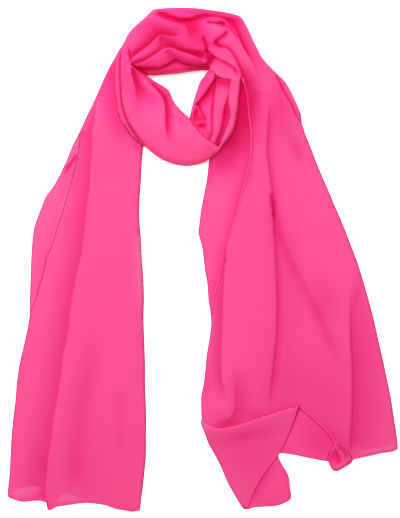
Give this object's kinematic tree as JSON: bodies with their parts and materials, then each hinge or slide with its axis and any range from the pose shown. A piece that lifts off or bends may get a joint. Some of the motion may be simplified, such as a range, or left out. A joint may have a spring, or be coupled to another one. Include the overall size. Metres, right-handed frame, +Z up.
{
  "type": "chiffon scarf, wound and laid flat",
  "caption": "Chiffon scarf wound in a loop and laid flat, with two spread tails, soft pleats, rolled hems and a turned-over corner.",
  "frame": {"origin": "on the surface the scarf lies on, at the middle of its outline", "axes": "+Y from the tails towards the neck loop, +X to the right seen from above, +Z up from the surface"},
  "size_m": [0.4671, 0.6039, 0.0309],
  "materials": {
    "chiffon": "matt sheer weave with a faint sheen",
    "chiffon_hem": "rolled and stitched edge of the same cloth"
  },
  "bodies": {
    "root": {"left_tail_side": "chiffon", "left_tail_front": "chiffon", "right_tail_under": "chiffon", "right_tail_front": "chiffon", "tail_tip": "chiffon", "tail_flap": "chiffon", "hem_curl": "chiffon_hem", "inner_turn": "chiffon", "neck_band_under": "chiffon", "neck_band": "chiffon", "loop_strip": "chiffon", "throat_loop": "chiffon", "shoulder_cover": "chiffon", "left_side_hem": "chiffon_hem", "left_front_hem": "chiffon_hem", "under_hem": "chiffon_hem", "tip_hem": "chiffon_hem", "raised_hem": "chiffon_hem", "right_hem": "chiffon_hem", "flap_hem": "chiffon_hem", "side_hem": "chiffon_hem"}
  },
  "joints": []
}
